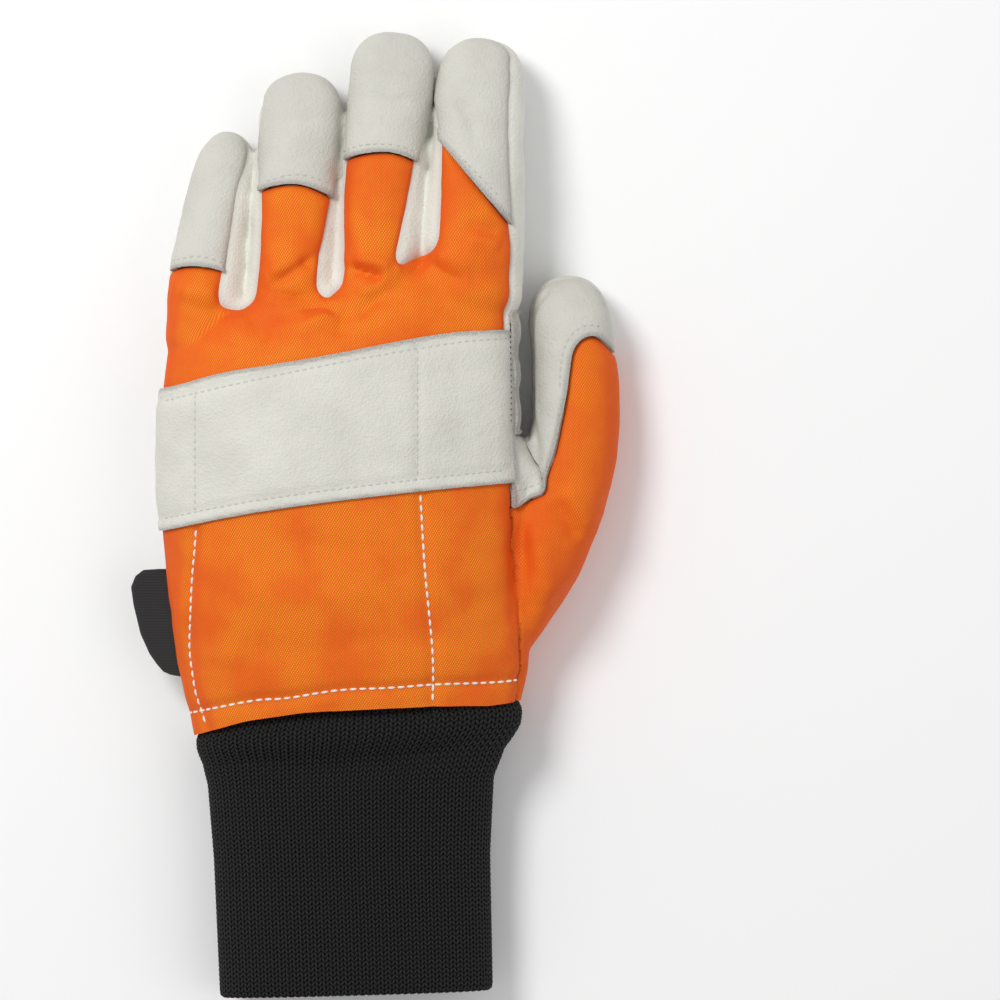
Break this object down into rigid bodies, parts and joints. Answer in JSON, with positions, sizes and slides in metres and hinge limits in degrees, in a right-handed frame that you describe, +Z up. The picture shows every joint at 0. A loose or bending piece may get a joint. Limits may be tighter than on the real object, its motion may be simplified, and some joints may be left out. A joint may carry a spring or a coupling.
{
  "type": "chainsaw work glove",
  "caption": "Left-hand leather and orange fabric work glove with a bare knuckle band, a ribbed palm patch and a black knitted cuff, lying palm down and open at the wrist.",
  "frame": {"origin": "on the floor under the middle of the whole glove's bounding box", "axes": "+Y from the cuff to the fingertips, +X to the thumb's side, +Z up out of the back of the hand"},
  "size_m": [0.1554, 0.309, 0.0442],
  "materials": {
    "leather": "matt grain leather, warm light grey",
    "fabric": "matt woven fabric, orange",
    "knit": "matt knitted rib, black",
    "label": "woven tape, black"
  },
  "bodies": {
    "root": {"palm_leather": "leather", "ring_front": "leather", "middle_front": "leather", "palm_patch": "leather", "knuckle_band": "leather", "little_tip": "leather", "ring_tip": "leather", "middle_tip": "leather", "index_tip": "leather", "side_strip_little_ring": "leather", "side_strip_ring_middle": "leather", "side_strip_middle_index": "leather", "thumb_front": "leather", "thumb_tip": "leather", "thumb_gusset": "leather", "back_panel": "fabric", "thumb_back": "fabric", "cuff": "knit", "side_label": "label"}
  },
  "joints": []
}
